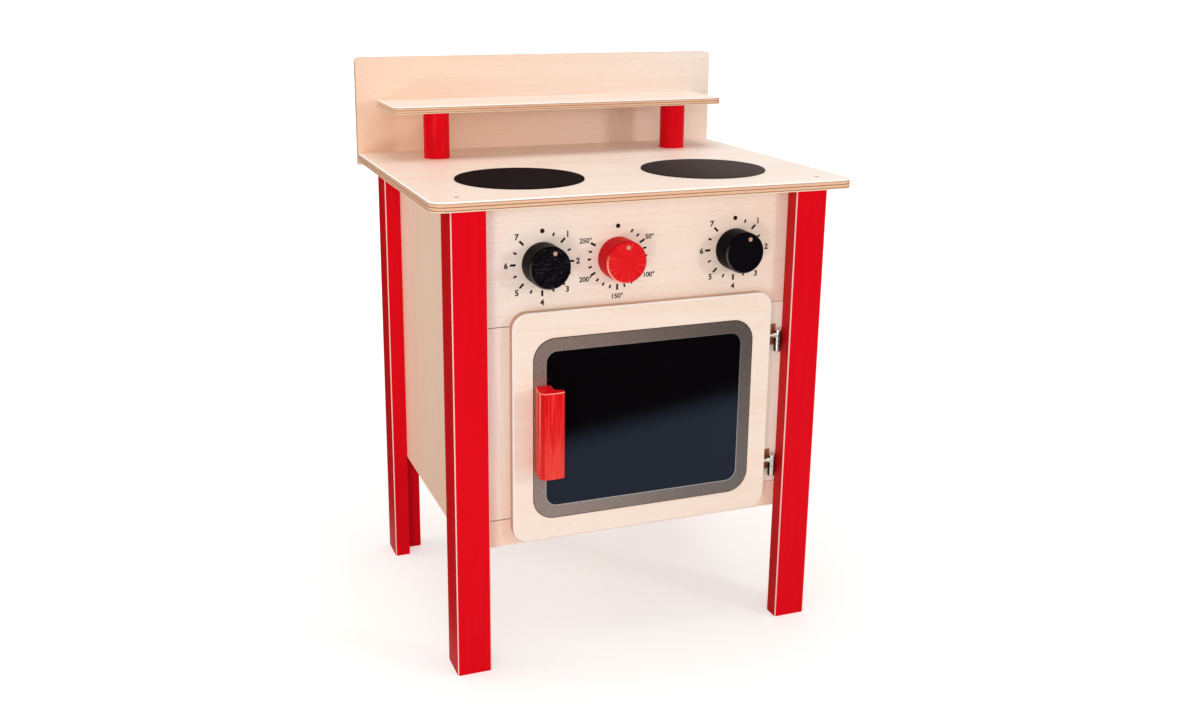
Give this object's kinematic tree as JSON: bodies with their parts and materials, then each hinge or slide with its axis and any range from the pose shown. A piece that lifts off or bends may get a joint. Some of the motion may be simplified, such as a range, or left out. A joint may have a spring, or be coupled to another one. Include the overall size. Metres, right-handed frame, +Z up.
{
  "type": "toy oven",
  "caption": "Wooden play stove on red L-shaped legs, with hob discs on the worktop, a backboard with a shelf, turning knobs and a hinged oven door with a dark window and a red handle.",
  "frame": {"origin": "on the floor, under the middle of the whole oven's box", "axes": "+Z up, +X to the right seen from the front, +Y to the back; the door faces -Y"},
  "size_m": [0.46, 0.364, 0.622],
  "materials": {
    "birch_plywood": "clear matt lacquer",
    "red_lacquer": "gloss red lacquer",
    "red_stain": "satin red stain, grain showing",
    "black_stain": "satin black stain",
    "hob_black": "matt",
    "beech": "bare",
    "nylon": "natural",
    "nickel": "polished nickel",
    "zinc_steel": "bright zinc",
    "magnet": "plated",
    "grey_sheet": "fine speckle",
    "black_acrylic": "high gloss"
  },
  "bodies": {
    "cabinet": {"worktop": "birch_plywood", "backboard": "birch_plywood", "shelf": "birch_plywood", "left_shelf_post": "red_lacquer", "right_shelf_post": "red_lacquer", "left_hob_disc": "hob_black", "right_hob_disc": "hob_black", "front_left_leg_face": "red_lacquer", "front_left_leg_side": "red_lacquer", "front_right_leg_face": "red_lacquer", "front_right_leg_side": "red_lacquer", "rear_left_leg_face": "red_lacquer", "rear_left_leg_side": "red_lacquer", "rear_right_leg_face": "red_lacquer", "rear_right_leg_side": "red_lacquer", "control_panel": "birch_plywood", "left_stile": "birch_plywood", "right_stile": "birch_plywood", "bottom_rail": "birch_plywood", "left_side_panel": "birch_plywood", "right_side_panel": "birch_plywood", "back_panel": "birch_plywood", "oven_floor": "birch_plywood", "oven_ceiling": "birch_plywood", "panel_dowels": "beech", "worktop_dowels": "beech", "shelf_post_dowels": "beech", "shelf_post_screws": "zinc_steel", "backboard_screws": "zinc_steel", "leg_screws": "zinc_steel", "catch_magnet": "magnet", "upper_hinge_leg_half": "nickel", "lower_hinge_leg_half": "nickel", "upper_hinge_pin": "nickel", "lower_hinge_pin": "nickel"},
    "door": {"door_panel": "birch_plywood", "window_frame": "grey_sheet", "window_pane": "black_acrylic", "door_handle": "red_stain", "handle_screws": "zinc_steel", "catch_plate": "zinc_steel", "upper_hinge_door_half": "nickel", "lower_hinge_door_half": "nickel"},
    "left_control": {"left_knob": "black_stain", "left_knob_dot": "beech", "left_knob_axle": "beech", "left_knob_washer": "nylon", "left_knob_screw": "zinc_steel"},
    "middle_control": {"middle_knob": "red_stain", "middle_knob_dot": "beech", "middle_knob_axle": "beech", "middle_knob_washer": "nylon", "middle_knob_screw": "zinc_steel"},
    "right_control": {"right_knob": "black_stain", "right_knob_dot": "beech", "right_knob_axle": "beech", "right_knob_washer": "nylon", "right_knob_screw": "zinc_steel"}
  },
  "joints": [
    {"name": "door_hinge", "type": "hinge", "parent": "cabinet", "child": "door", "pos_m": [0.163, -0.1505, 0.2632], "axis": [0, 0, 1], "range_deg": [0, 95]},
    {"name": "left_knob_turn", "type": "hinge", "parent": "cabinet", "child": "left_control", "pos_m": [-0.108, -0.145, 0.4362], "axis": [0, 1, 0], "continuous": true},
    {"name": "middle_knob_turn", "type": "hinge", "parent": "cabinet", "child": "middle_control", "pos_m": [-0.026, -0.145, 0.4362], "axis": [0, 1, 0], "continuous": true},
    {"name": "right_knob_turn", "type": "hinge", "parent": "cabinet", "child": "right_control", "pos_m": [0.108, -0.145, 0.4362], "axis": [0, 1, 0], "continuous": true}
  ]
}
